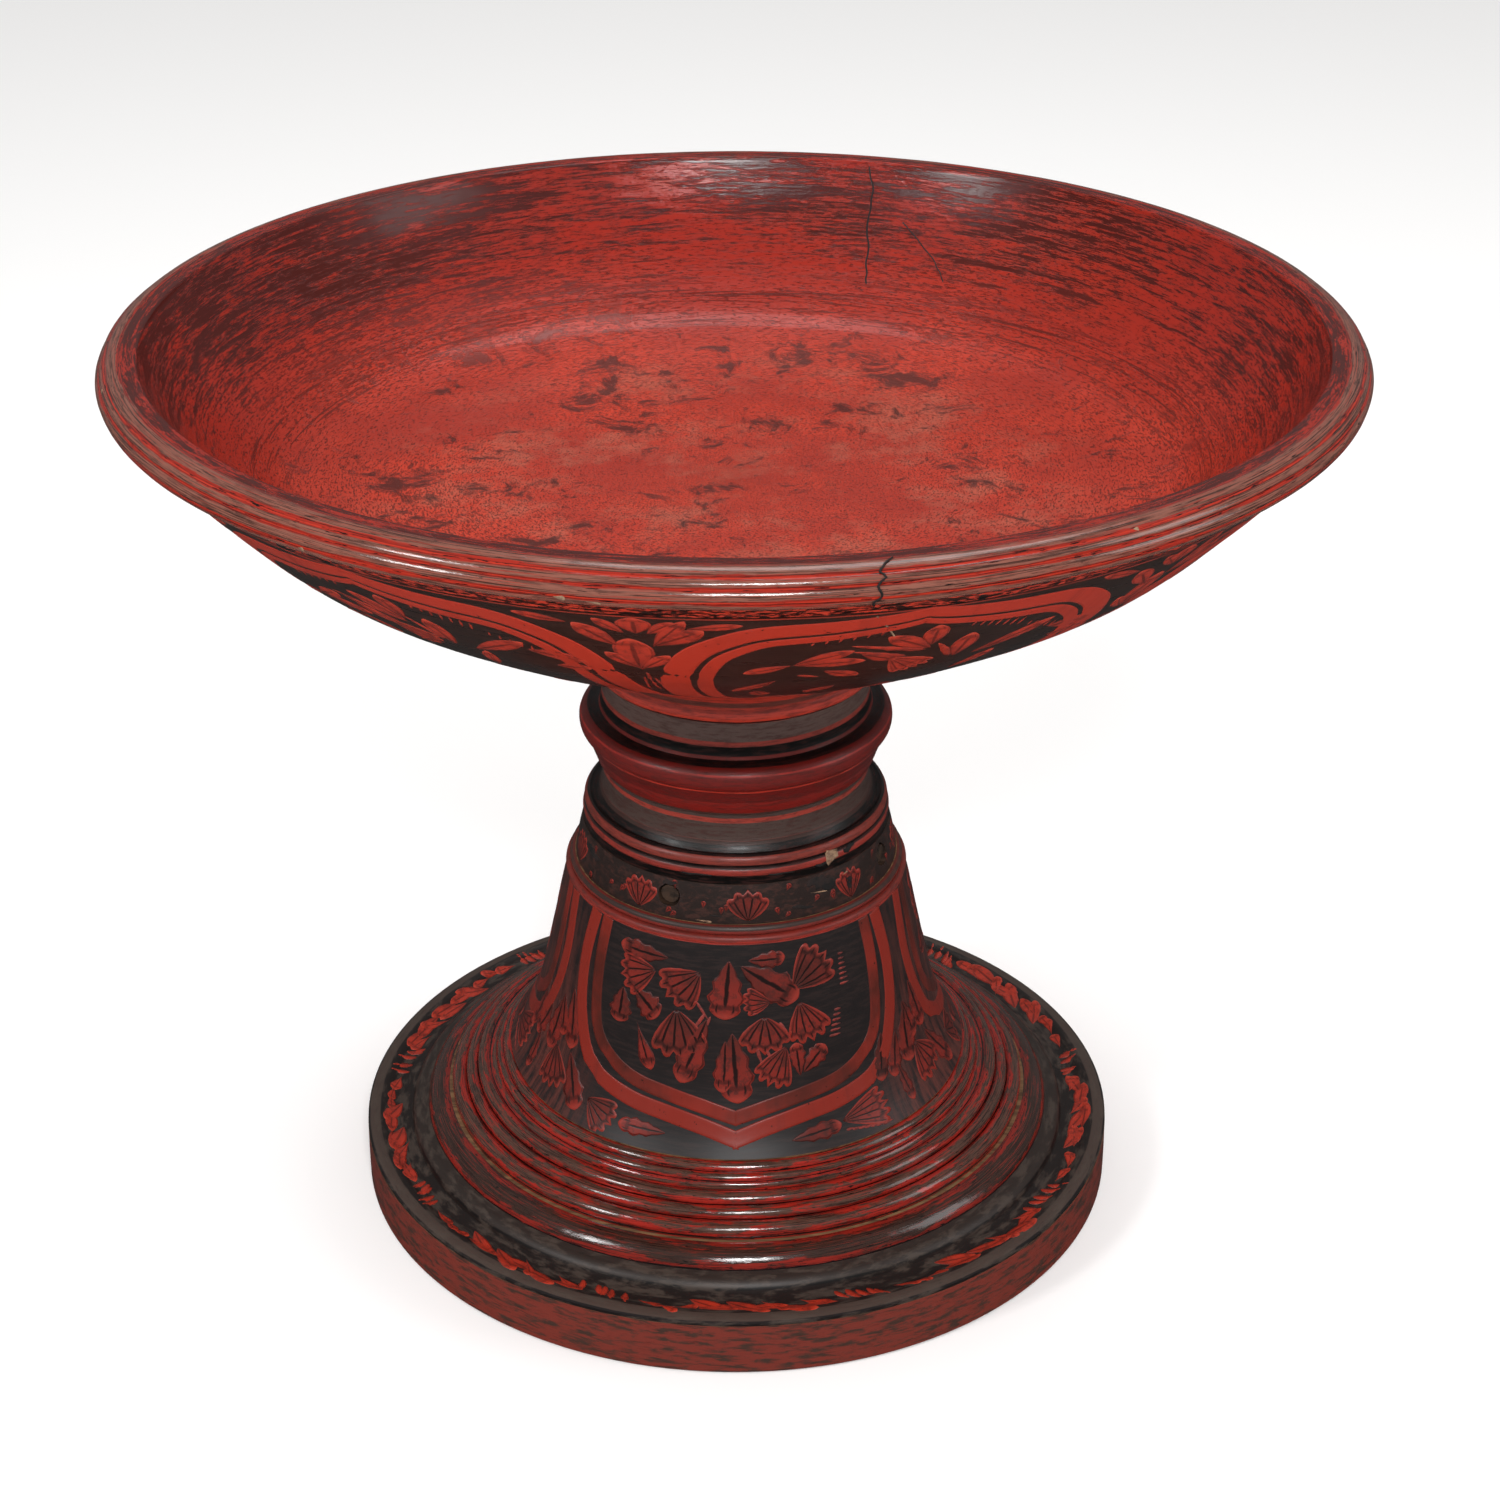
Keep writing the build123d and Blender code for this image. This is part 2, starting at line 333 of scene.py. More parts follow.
def reedLacquer(name, crestTint, redTint, redShare, spread, valleyTint="0c0707", gloss=0.07):
    # red left in streaks, worn to the brown ground on the crests; in the valleys the valley colour, near
    # black by default as painted shade in the grooves
    finish, tree, shader = newFinish(name)
    crest = layerValue(tree, "crest")
    long = turnedGrain(tree, 6, 0.35, detail=6, rough=0.65, twist=0.4)
    short = turnedGrain(tree, 20, 1.0, detail=5, rough=0.65)
    shortSwing = minus(tree, short, 0.5)
    worn = weighted(tree, crest, (minus(tree, long, 0.5), spread), (shortSwing, 0.8))
    red = stained(tree, tint(redTint), "5e1510", long, 0.4, 0.65)
    bare = stained(tree, tint(crestTint), "2c1b16", short, 0.45, 0.7, 0.7)
    colour = mixTint(tree, step(tree, worn, redShare, redShare + 0.25), red, bare)
    lines = turnedGrain(tree, 5, 2.6, detail=5, rough=0.7, twist=0.2)
    colour = stained(tree, colour, "22100c", lines, 0.51, 0.58, 0.8)
    colour = stained(tree, colour, redTint, lines, 0.44, 0.38, 0.7)
    # the valleys: near black by default, which is painted shade in the grooves; the rim gives its own red
    colour = stained(tree, colour, valleyTint, weighted(tree, crest, (shortSwing, 0.5)), 0.22, 0.08)
    flecks = weighted(tree, turnedGrain(tree, 30, 1.8, detail=4), (crest, -0.08))
    colour = stained(tree, colour, "120a08", flecks, 0.55, 0.62)
    height = weighted(tree, long, (grain(tree, objectPlace(tree), 170, detail=3), 0.5))
    finishSurface(tree, shader, colour, weighted(tree, gloss, (short, 0.12)), height, 0.15, 0.1, specular=0.5)
    return finish


def leafPaint(name, red, brown, vein, outline, veins):
    # side and reach run across and along each leaf, lobe counts its lobes, shade is each leaf's own
    finish, tree, shader = newFinish(name)
    place = objectPlace(tree)
    side = sums(tree, "ABSOLUTE", layerValue(tree, "side"))
    reach = layerValue(tree, "reach")
    mottle = grain(tree, place, 260, detail=5, rough=0.7)
    mottleSwing = minus(tree, mottle, 0.5)
    cloudSwing = minus(tree, grain(tree, place, 60, detail=3), 0.5)
    shade = weighted(tree, layerValue(tree, "shade"), (cloudSwing, 1.2))
    colour = stained(tree, tint(red), brown, shade, 0.25, 1.05)
    colour = stained(tree, colour, brown, mottle, 0.48, 0.62, 0.7)
    colour = stained(tree, colour, brown, reach, 0.6, 0.05, 0.6)
    edge = sums(tree, "MINIMUM", minus(tree, 1.0, side), minus(tree, 1.0, reach))
    colour = stained(tree, colour, outline, edge, 0.15, 0.05, 0.6)
    fold = sums(tree, "PINGPONG", layerValue(tree, "lobe"), 0.5)
    waver = times(tree, mottleSwing, 0.12)
    line = step(tree, weighted(tree, sums(tree, "ADD", fold, waver), (reach, 0.12)), 0.23, 0.14)
    line = times(tree, line, step(tree, reach, 0.90, 0.72))
    line = times(tree, line, step(tree, edge, 0.02, 0.12))
    middle = sums(tree, "ABSOLUTE", minus(tree, fold, 0.5))
    middle = step(tree, sums(tree, "ADD", middle, waver), 0.09, 0.03)
    spot = times(tree, middle, times(tree, step(tree, reach, 0.70, 0.78), step(tree, reach, 0.92, 0.84)))
    inset = weighted(tree, edge, (waver, 0.6))
    contour = times(tree, step(tree, inset, 0.15, 0.19), step(tree, inset, 0.27, 0.23))
    dark = sums(tree, "MAXIMUM", sums(tree, "MAXIMUM", line, spot), times(tree, contour, 0.6))
    colour = mixTint(tree, times(tree, dark, veins), colour, tint(vein))
    finishSurface(tree, shader, colour, weighted(tree, 0.3, (mottle, 0.2)), minus(tree, mottle, dark), 0.03)
    return finish


def bandPaint(name, red, brown):
    finish, tree, shader = newFinish(name)
    place = objectPlace(tree)
    streak = turnedGrain(tree, 9, 0.25, detail=6, rough=0.7, twist=0.4)
    cloudSwing = minus(tree, grain(tree, place, 34, detail=4), 0.5)
    shade = weighted(tree, layerValue(tree, "shade"), (cloudSwing, 1.6))
    colour = stained(tree, tint(red), brown, shade, 0.25, 0.85, 0.9)
    colour = stained(tree, colour, "2a1210", streak, 0.55, 0.72, 0.4)
    specks = grain(tree, place, 420, detail=3)
    colour = stained(tree, colour, "1a0c0a", specks, 0.67, 0.72)
    height = sums(tree, "ADD", streak, specks)
    finishSurface(tree, shader, colour, weighted(tree, 0.26, (streak, 0.2)), height, 0.03)
    return finish


def plainPaint(name, tone, spot, rough=0.4):
    finish, tree, shader = newFinish(name)
    mottle = grain(tree, objectPlace(tree), 300, detail=4, rough=0.7)
    colour = stained(tree, tint(tone), spot, mottle, 0.4, 0.65)
    finishSurface(tree, shader, colour, weighted(tree, rough, (mottle, 0.2)), mottle, 0.05, specular=0.5)
    return finish


wood = bareWood("bareWood", "7a5a3c", "4a3423")
oldWood = bareWood("oldWood", "3a281c", "1a110b")
leafRed = leafPaint("leafPaint", red="6e1b12", brown="3c1813", vein="100807", outline="8e2a1e", veins=0.95)
petalRed = leafPaint("petalPaint", red="a42c1a", brown="6e2016", vein="2a110c", outline="b03a26", veins=0.6)
strokeRed = plainPaint("strokePaint", "80241a", "561a14")
darkGap = plainPaint("darkGap", "0c0605", "20100c", rough=0.7)
chipTan = plainPaint("chippedWood", "8a6c52", "5a4130", rough=0.6)
paints = [leafRed, bandPaint("bandPaint", "741d11", "3c1811"), strokeRed, darkGap, chipTan]
brightPaints = [petalRed, bandPaint("archPaint", "a22a18", "7a2014"), petalRed, darkGap, chipTan]
print("finishes made")

# Bowl

bowlShape = {
    "start": (0, 285.2),
    "runs": [
        ("floor", [(100, 285.2)], None),
        ("wall", [
            (130, 286.0), (156, 289.0), (172, 300.3), (186, 314.0), (196.8, 328.0), (205.3, 344.0),
        ], "curve"),
        ("lipEdge", [(206.3, 345.0)], [0.25]),
        ("lip", [(211.0, 345.0)], None),
        ("rebate", [(211.0, 333.0), (213.6, 333.0)], None),
        ("outside", [
            (195, 312.0), (170, 287.8), (140, 268.6), (110, 252.6), (80, 237.8), (61, 229.5),
        ], "curve"),
        ("seat", [(25, 229.5), (25, 262.0), (0, 262.0)], None),
    ],
    "spacing": 2.2, "steps": 384,
    "ground": "120a08",
    "bands": [  # run, its start (0) or end (1), mm from there, colour
        ("outside", 0, 9.0, "9a2c1c"), ("outside", 0, 9.8, "2a1a15"),
        ("outside", 1, -16, "9a2a1a"), ("outside", 1, -1, "0d0807"),
    ],
    "outside": {"wear": "3e251e", "relief": 0.06, "brushed": (10, 0.5)}, "speckled": (2.6, 8.4),
    "red": "b0301c", "deepRed": "76190f", "brightRed": "c63a20", "wallRed": "8a1e12", "dustAndSheen": "a65a46",
    "black": "1a0d0b",
    "crease": 157.0, "lipAt": 226.0,  # mm along the section from the middle of the floor
    # stretches in mm past the crease
    "wallFrom": (-22, 45), "dustAndSheenFrom": (-12, -50), "arcsFrom": (-4, 6), "arcsTo": (32, 16),
}


def outlineOf(shape):
    return drawOutline(shape["start"], shape["runs"], shape.get("spacing", 3.0))


def placedBands(shape, outline):
    placed = [(outline["marks"][run][end] + offset, colour) for run, end, offset, colour in shape["bands"]]
    return [(0, shape["ground"]), *placed]


def turnAndSettle(node, shape, outline, finishes, zones, closed=True):
    uneven = shape.get("uneven", 0)
    settle(turnPiece(f"{node}_turned", outline, shape["steps"], finishes, zones, closed, uneven), node)


def insideLacquer(look):
    finish, tree, shader = newFinish("insideLacquer")
    place = objectPlace(tree)
    along = layerValue(tree, "along")

    def pastCrease(limits):
        return step(tree, along, *[look["crease"] + limit for limit in limits])

    wall = pastCrease(look["wallFrom"])
    flat = minus(tree, 1.0, wall)
    high = step(tree, along, look["crease"], look["lipAt"])
    long = turnedGrain(tree, 6.5, 0.42, detail=8, rough=0.75, twist=0.6)
    short = turnedGrain(tree, 22, 1.1, detail=6, rough=0.75, twist=0.4)
    patches = grain(tree, place, 14, detail=6, rough=0.62)
    scuffs = grain(tree, place, 62, detail=8, rough=0.74, twist=0.6)
    specks = turnedGrain(tree, 60, 1.6, detail=4, rough=0.7)
    red = stained(tree, tint(look["deepRed"]), look["brightRed"], patches, 0.35, 0.66)
    red = mixTint(tree, 0.5, red, tint(look["red"]))
    red = mixTint(tree, times(tree, wall, 0.8), red, tint(look["wallRed"]))
    # pale patches on the middle of the floor: real dust together with a painted sheen that lightens it
    dustAndSheenShare = times(tree, flat, step(tree, grain(tree, place, 24, detail=7, rough=0.75), 0.47, 0.66))
    dustAndSheenShare = times(tree, dustAndSheenShare, pastCrease(look["dustAndSheenFrom"]))
    red = mixTint(tree, times(tree, dustAndSheenShare, 0.6), red, tint(look["dustAndSheen"]))
    patchSwing = minus(tree, patches, 0.5)
    streaks = weighted(tree, times(tree, long, 0.6), (short, 0.4), (high, 0.08), (patchSwing, 0.22))
    arcs = step(tree, turnedGrain(tree, 3.4, 0.8, detail=7, rough=0.7, twist=0.5), 0.545, 0.59)
    arcs = times(tree, arcs, times(tree, pastCrease(look["arcsFrom"]), pastCrease(look["arcsTo"])))
    stains = weighted(tree, times(tree, scuffs, 0.7), (patches, 0.35))
    dark = sums(tree, "MAXIMUM", times(tree, wall, step(tree, streaks, 0.53, 0.60)),
                times(tree, flat, step(tree, stains, 0.552, 0.62)))
    dots = step(tree, weighted(tree, specks, (patches, 0.22)), 0.645, 0.69)
    dark = sums(tree, "MAXIMUM", dark, times(tree, sums(tree, "MAXIMUM", dots, arcs), 0.8))
    colour = mixTint(tree, times(tree, dark, 0.84), red, tint(look["black"]))
    rough = weighted(tree, 0.08, (short, 0.2), (flat, 0.22))
    height = weighted(tree, grain(tree, place, 120, detail=3), (dark, -0.6), (long, 0.8))
    finishSurface(tree, shader, colour, rough, height, 0.22, coat=0.18, specular=0.35)
    return finish


bowlOutline = outlineOf(bowlShape)
outsideFinish = groundLacquer(
    "outsideLacquer", placedBands(bowlShape, bowlOutline), **bowlShape["outside"],
    speckled=[bowlOutline["marks"]["outside"][0] + offset for offset in bowlShape["speckled"]],
)
turnAndSettle(
    "bowl", bowlShape, bowlOutline, [insideLacquer(bowlShape), outsideFinish, wood],
    [("lip", 0), ("rebate", 2), ("outside", 1), ("seat", 2)], closed=False,
)

# Rim hoop

rimShape = {
    "start": (212.5, 333.0),
    "runs": [
        ("inner", [(211.0, 333.0), (211.0, 345.0)], None),
        ("reeds", [(216.6, 343.0), (218.4, 340.3), (219.6, 336.6), (216.0, 333.0)], [0.9, 0.6, 0.8, 0.9]),
        ("under", [(212.5, 333.0)], None),
    ],
    "steps": 512, "uneven": 0.15,
    "reeds": {
        "crestTint": "7a4c40", "redTint": "8e2216", "valleyTint": "a02a1a", "redShare": 0.42, "spread": 1.9,
    },
}
rimOutline = outlineOf(rimShape)
rimFinish = reedLacquer("rimLacquer", **rimShape["reeds"])
turnAndSettle("rim_hoop", rimShape, rimOutline, [wood, rimFinish], [("inner", 0), ("under", 1)])

# Stem

stemShape = {
    "start": (0, 104),
    "runs": [
        ("tenon", [(27, 104), (27, 151.2), (57.8, 151.2)], None),
        ("joint", [(57.6, 154.6)], None),
        ("doubleRing", [(56.6, 157.6), (55.0, 162.2)], [-0.7, -1.3]),
        ("lowerNeck", [(53.2, 161.8), (50.9, 165.4), (50.1, 170.4), (50.2, 175.6)], "curve"),
        ("band", [(52.0, 177.4), (55.6, 187.4), (56.0, 188.2)], None),
        ("knop", [(58.3, 192.0), (54.6, 197.8)], [-0.5, -1.4]),
        ("upperNeck", [(51.0, 198.4), (49.8, 205.0), (50.4, 212.8)], "curve"),
        ("flare", [(52.6, 219.0), (61.0, 229.5)], [-1.3, 1.2]),
        ("seat", [(25, 229.5), (25, 262), (0, 262)], None),
    ],
    "spacing": 1.5, "steps": 288, "uneven": 0.3,
    "ground": "24150f",
    "colours": [  # height, colour from there up
        (151.2, "070403"), (152.8, "7a2218"), (156.9, "2a1512"), (157.4, "0d0706"), (158.2, "6e261c"),
        # from 161.6 to 163.7, in the corner at the foot of the lower neck, the black is painted shade
        (161.6, "0a0605"), (163.7, "35241f"), (164.4, "842a1e"), (165.0, "40302b"), (171.9, "842a1e"),
        (172.5, "3e2f2a"), (176.2, "0a0605"), (177.0, "6e120b"), (178.4, "a02616"), (179.8, "180a08"),
        (180.4, "5a0c07"), (184.6, "86180d"), (185.9, "0f0706"), (186.8, "a22a1c"), (187.5, "66110b"),
        # from 199.0 to 202.3, at the foot of the upper neck above the knop, the black is painted shade
        (194.6, "8e1e14"), (195.3, "5c0f0a"), (197.4, "0a0505"), (198.1, "6a1a14"), (199.0, "0a0605"),
        (202.3, "46322c"), (202.9, "842a1e"), (203.5, "54403a"), (212.2, "842a1e"), (212.9, "0a0605"),
        (213.8, "a8301f"), (217.3, "8e2a1d"), (219.9, "5a2a22"), (222.5, "962a1c"),
    ],
}
stemOutline = outlineOf(stemShape)


def stemAt(height):
    # the outside rises steadily, so the first place that high is on it
    rows = zip(stemOutline["points"], stemOutline["along"])
    low, high = stemOutline["marks"]["joint"][0], stemOutline["marks"]["flare"][1]
    return next((a for (r, z), a in rows if low <= a <= high and z >= height), high)


stemBands = [(0, stemShape["ground"])] + [(stemAt(height), colour) for height, colour in stemShape["colours"]]
stemFinish = groundLacquer("stemLacquer", stemBands, wear="3a1712", gloss=0.34)
turnAndSettle(
    "stem", stemShape, stemOutline, [wood, stemFinish],
    [("tenon", 0), ("flare", 1), ("seat", 0)], closed=False,
)

# Collar, with a blind hole over each peg

collarShape = {
    "start": (44.0, 136.4),
    "runs": [
        ("inner", [(27, 136.4), (27, 151.2), (58.0, 151.2)], None),
        ("face", [(61.0, 136.4)], [0.3]),
        ("under", [(44.0, 136.4)], None),
    ],
    "spacing": 2.0, "steps": 288,
    "ground": "231815", "lacquer": {"wear": "46261e", "gloss": 0.34, "relief": 0.1, "brushed": (14, 0.5)},
    "pegAngle": -24, "pegs": 4, "pegHeight": 145.0,
    "holeRadius": 4.3, "holeTaper": 1.06, "holeDepth": 10, "holeFloor": 56.0, "holeWander": 0.35,
}
collarOutline = outlineOf(collarShape)
collarFinish = groundLacquer("collarLacquer", [(0, collarShape["ground"])], **collarShape["lacquer"])


def drillPegHoles(piece, shape):
    bm = bmesh.new()
    for i in range(shape["pegs"]):
        turn = math.radians(shape["pegAngle"] + i * 360 / shape["pegs"])
        outward = Vector((math.sin(turn), -math.cos(turn), 0))
        middle = outward * (shape["holeFloor"] + shape["holeDepth"] / 2) + Vector((0, 0, shape["pegHeight"]))
        heading = outward.to_track_quat("Z", "Y").to_matrix().to_4x4()
        drill = bmesh.ops.create_cone(
            bm, cap_ends=True, segments=14, depth=shape["holeDepth"] * mm,
            radius1=shape["holeRadius"] * mm, radius2=shape["holeRadius"] * shape["holeTaper"] * mm,
            matrix=Matrix.Translation(middle * mm) @ heading,
        )["verts"]
        for k, vert in enumerate(drill):
            vert.co.z += shape["holeWander"] * mm * math.sin(k * 2.3 + i)
    cutter = finishMesh(bm, "drill", [wood])
    cut = piece.modifiers.new("holes", "BOOLEAN")
    cut.object, cut.operation, cut.solver = cutter, "DIFFERENCE", "EXACT"
    bpy.context.view_layer.update()
    drilled = bpy.data.meshes.new_from_object(piece.evaluated_get(bpy.context.evaluated_depsgraph_get()))
    piece.modifiers.clear()
    piece.data = drilled
    bpy.data.objects.remove(cutter)


collar = turnPiece(
    "collar_turned", collarOutline, collarShape["steps"], [oldWood, collarFinish],
    [("inner", 0), ("face", 1), ("under", 0)], closed=True,
)
drillPegHoles(collar, collarShape)
settle(collar, "collar")

# Bell

bellShape = {
    "start": (84, 12),
    "runs": [
        ("mouth", [(76, 12), (76, 50)], None),
        ("hollow", [(69, 66), (63, 88), (57, 108)], "curve"),
        ("head", [(27, 108), (27, 136.4), (61.4, 136.4)], None),
        ("beads", [(62.9, 133), (64.6, 130.2)], [1.2, 1.2]),
        ("flank", [
            (67, 120), (70.2, 105), (73.5, 90), (76.9, 76), (80.8, 66), (84.9, 58), (88.9, 52.4),
        ], "curve"),
        ("spigot", [(88.6, 51.6), (84, 51.6), (84, 12)], None),
    ],
    "spacing": 2.5, "steps": 320,
    "ground": "24150f",
    "bands": [
        ("beads", 0, -0.6, "5c1d16"), ("beads", 0, 1.0, "33231e"), ("beads", 0, 2.8, "6e2018"),
        ("flank", 0, -1.2, "8a2419"), ("flank", 0, 0.3, "1a1414"),
    ],
    "lacquer": {"wear": "2e1f1c", "gloss": 0.38, "relief": 0.03, "coat": 0.0, "sideSheen": (48, 72)},
}
bellOutline = outlineOf(bellShape)
bellFinish = groundLacquer("bellLacquer", placedBands(bellShape, bellOutline), **bellShape["lacquer"])
turnAndSettle(
    "bell", bellShape, bellOutline, [wood, bellFinish],
    [("head", 0), ("flank", 1), ("spigot", 0)],
)

# Reeded ring

reededShape = {
    "start": (100, 33.6),
    "runs": [
        ("inner", [(84, 33.6), (84, 51.6), (88.6, 51.6)], None),
        ("reeds", [(91.9, 48.9), (94.6, 46.6), (97.4, 44.7), (102.2, 41.6), (106.7, 38.3), (112.4, 34.6)],
         [1.1, 0.8, -0.6, 1.9, 1.9, 2.3]),
        ("edge", [(112.4, 33.6)], None),
        ("under", [(100, 33.6)], None),
    ],
    "steps": 384, "uneven": 0.4,
    "reeds": {"crestTint": "4c352c", "redTint": "8e2017", "redShare": 0.58, "spread": 2.8},
}
reededFinish = reedLacquer("reededLacquer", **reededShape["reeds"])
turnAndSettle(
    "reeded_ring", reededShape, outlineOf(reededShape), [wood, reededFinish],
    [("inner", 0), ("edge", 1), ("under", 0)],
)

# Step ring

stepShape = {
    "start": (100, 27.2),
    "runs": [
        ("inner", [(84, 27.2), (84, 33.6), (113.8, 33.6)], None),
        ("bead", [(122.4, 27.2)], [2.0]),
        ("under", [(100, 27.2)], None),
    ],
    "steps": 384, "uneven": 0.3,
    "reeds": {"crestTint": "33231d", "redTint": "7c1e15", "redShare": 0.42, "spread": 2.4},
}
stepFinish = reedLacquer("stepLacquer", **stepShape["reeds"])
turnAndSettle(
    "step_ring", stepShape, outlineOf(stepShape), [wood, stepFinish],
    [("inner", 0), ("bead", 1), ("under", 0)],
)

# Foot disc

discShape = {
    "start": (143, 21),
    "runs": [
        ("inner", [(140, 21), (140, 12), (84, 12), (84, 27.2), (122.9, 27.2), (123.9, 26.6)], None),
        ("channel", [(129, 22), (137.5, 21.6), (146.3, 22.2)], [1.2, -0.7, 1.5]),
        ("under", [(146.3, 21), (143, 21)], None),
    ],
    "spacing": 2.0, "steps": 448,
    "ground": "2a211d",
    "bands": [
        ("channel", 0, 5.2, "0c0807"), ("channel", 0, 6.2, "1b1412"),
        ("channel", 1, -5, "40332d"), ("channel", 1, -0.8, "151010"),
    ],
    "lacquer": {
        "wear": "453a33", "gloss": 0.38, "worn": 0.7, "relief": 0.05, "brushed": (12, 0.3), "coat": 0.0,
    },
}
discOutline = outlineOf(discShape)
discFinish = groundLacquer("discLacquer", placedBands(discShape, discOutline), **discShape["lacquer"])
turnAndSettle("foot_disc", discShape, discOutline, [discFinish], [("inner", 0)])

# Base hoop

hoopShape = {
    "start": (140, 0),
    "runs": [
        ("inner", [(134, 0), (134, 12), (140, 12), (140, 21), (146.4, 21)], None),
        ("side", [(146.6, 10.5), (146.6, 1.0), (145.6, 0)], None),
        ("under", [(140, 0)], None),
    ],
    "spacing": 2.5, "steps": 448,
    "ground": "6c261b",
    "lacquer": {
        "wear": "38271f", "gloss": 0.38, "worn": 0.95, "relief": 0.1, "brushed": (15, 0.5), "coat": 0.0,
    },
}
hoopFinish = groundLacquer("hoopLacquer", [(0, hoopShape["ground"])], **hoopShape["lacquer"])
turnAndSettle(
    "base_hoop", hoopShape, outlineOf(hoopShape), [wood, hoopFinish],
    [("inner", 0), ("side", 1), ("under", 0)],
)
print("turned pieces made")

for nodeName in ("collar_pegs", "tenon_wedge", "foot_dowels"):
    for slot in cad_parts[nodeName].material_slots:
        slot.material = oldWood


# Painting: thin strokes that lie on a turned face, each a closed skin. A place on a face is an angle from
# the front, in degrees towards the right, and a distance along the section. A motif is listed as (kind,
# angle, height, length, turn, width). It runs on from its place along the section, swung round by its turn.

brush = {"middle": 0.09, "edge": -0.03, "thick": 0.35, "flat": 0.6, "overlap": 1.3}  # mm, but for flat


def alongAt(outline, run, value, axis=1):
    # axis 0 looks for a radius and axis 1 for a height
    first, last = outline["marks"][run]
    places = zip(outline["points"], outline["along"])
    rows = [(point[axis], along) for point, along in places if first - 0.01 <= along <= last + 0.01]
    for (v0, a0), (v1, a1) in zip(rows, rows[1:]):
        if v0 != v1 and min(v0, v1) <= value <= max(v0, v1):
            return a0 + (a1 - a0) * (value - v0) / (v1 - v0)
    return rows[0][1] if abs(value - rows[0][0]) < abs(value - rows[-1][0]) else rows[-1][1]


def onFace(outline, angle, along, lift):
    alongs = outline["along"]
    i = min(max(bisect.bisect_right(alongs, along), 1), len(alongs) - 1)
    (r0, z0), (r1, z1) = outline["points"][i - 1], outline["points"][i]
    share = (along - alongs[i - 1]) / (alongs[i] - alongs[i - 1])
    run, drop = r1 - r0, z1 - z0
    length = math.hypot(run, drop)
    r = r0 + run * share - drop / length * lift
    z = z0 + drop * share + run / length * lift
    turn = math.radians(angle)
    return Vector((r * math.sin(turn), -r * math.cos(turn), z)) * mm


def perDegree(outline, along):
    return math.hypot(*onFace(outline, 0, along, 0).xy) / mm * math.pi / 180


def swell(t, peak, fullness):
    # a width that grows from nothing to one and back, and is widest further along for a higher peak
    return max(0.0, math.sin(math.pi * min(max(t, 0.0), 1.0) ** peak)) ** fullness


def taperForm(peak, fullness):
    def form(x, t, length, width, lobes):
        return x * width / 2 * swell(t, peak, fullness), t * length
    return form


def leafForm(x, t, length, width, lobes):
    scallop = 1 + 0.3 * (abs(math.sin(math.pi * 4 * t)) - 0.6) * min(1, 3 * t)
    return x * width / 2 * swell(t, 1.5, 0.55) * scallop, t * length


def fanForm(x, t, length, width, lobes):
    half = math.atan2(width / 2, length * 0.62)
    turn = x * half * (1.35 - 0.35 * t)
    edge = 1 - 0.2 * (1 - abs(math.sin(math.pi * lobes * (x + 1) / 2)) ** 0.5)
    reach = length * t * (1 - 0.12 * x * x) * (1 + (edge - 1) * t ** 3)
    return reach * math.sin(turn), reach * math.cos(turn)


def scarForm(x, t, length, width, lobes):
    ragged = 1 + 0.35 * math.sin(9 * t + 2) * math.cos(5 * t + x)
    return x * width / 2 * swell(t, 0.8, 0.4) * ragged + 0.12 * width * math.sin(7 * t), t * length


motifs = {  # form, which of the paints, cells across, cells down, lobes
    "leaf": (leafForm, 0, 4, 20, 2), "fan": (fanForm, 0, 30, 6, 5),
    "petal": (taperForm(1.25, 0.75), 0, 4, 12, 2), "drop": (taperForm(2.2, 0.8), 0, 4, 10, 2),
    "stroke": (taperForm(0.7, 0.8), 2, 2, 6, 1), "gap": (taperForm(0.7, 0.8), 3, 2, 10, 1),
    # a scar is laid in the near-black paint: painted shade standing for a chipped hollow
    "scar": (scarForm, 3, 6, 16, 1), "chip": (taperForm(2.2, 0.8), 4, 4, 6, 1),
}
lines = {  # which of the paints, cells across, mm to a cell
    "band": (1, 6, 1.5), "gap": (3, 2, 0.6), "chip": (4, 2, 0.6),
}


patchLayers = ("side", "reach", "lobe", "shade")


def startPainting():
    bm = bmesh.new()
    for layer in patchLayers:
        bm.verts.layers.float.new(layer)
    return bm


def paintPatch(bm, outline, across, down, lobes, paint, shade, place):
    # place(x, t) gives (angle, along), with x from -1 to 1 across the patch and t from 0 to 1 down it
    side, reach, lobe, shades = (bm.verts.layers.float[name] for name in patchLayers)
    grid = bmesh.ops.create_grid(bm, x_segments=across, y_segments=down, size=1)["verts"]
    for vert in grid:
        x, y = (math.copysign(abs(value) ** brush["flat"], value) for value in vert.co.xy)
        t = min(max((y + 1) / 2, 0.0), 1.0)
        vert[side], vert[reach], vert[lobe], vert[shades] = x, t, lobes * (x + 1) / 2, shade
        angle, along = place(x, t)
        atRim = abs(x) > 0.999 or t > 0.999 or t < 0.001
        vert.co = onFace(outline, angle, along, brush["edge"] if atRim else brush["middle"])
    facing = onFace(outline, angle, along, 1) - onFace(outline, angle, along, 0)
    faces = list({face for vert in grid for face in vert.link_faces})
    turnSum = 0.0
    for face in faces:
        face.normal_update()
        face.material_index = paint
        face.smooth = True
        turnSum += face.normal.dot(facing) * face.calc_area()
    if turnSum < 0:
        bmesh.ops.reverse_faces(bm, faces=faces)


def paintMotif(bm, outline, kind, angle, along, length, turn, width, shade=0.3, bend=0.0):
    form, paint, across, down, lobes = motifs[kind]
    heading = math.radians(turn)
    scale = perDegree(outline, along)

    def place(x, t):
        aside, ahead = form(x, t, length, width, lobes)
        aside += bend * t * t
        right = ahead * math.sin(heading) + aside * math.cos(heading)
        below = ahead * math.cos(heading) - aside * math.sin(heading)
        return angle + right / scale, along + below

    paintPatch(bm, outline, across, down, lobes, paint, shade, place)


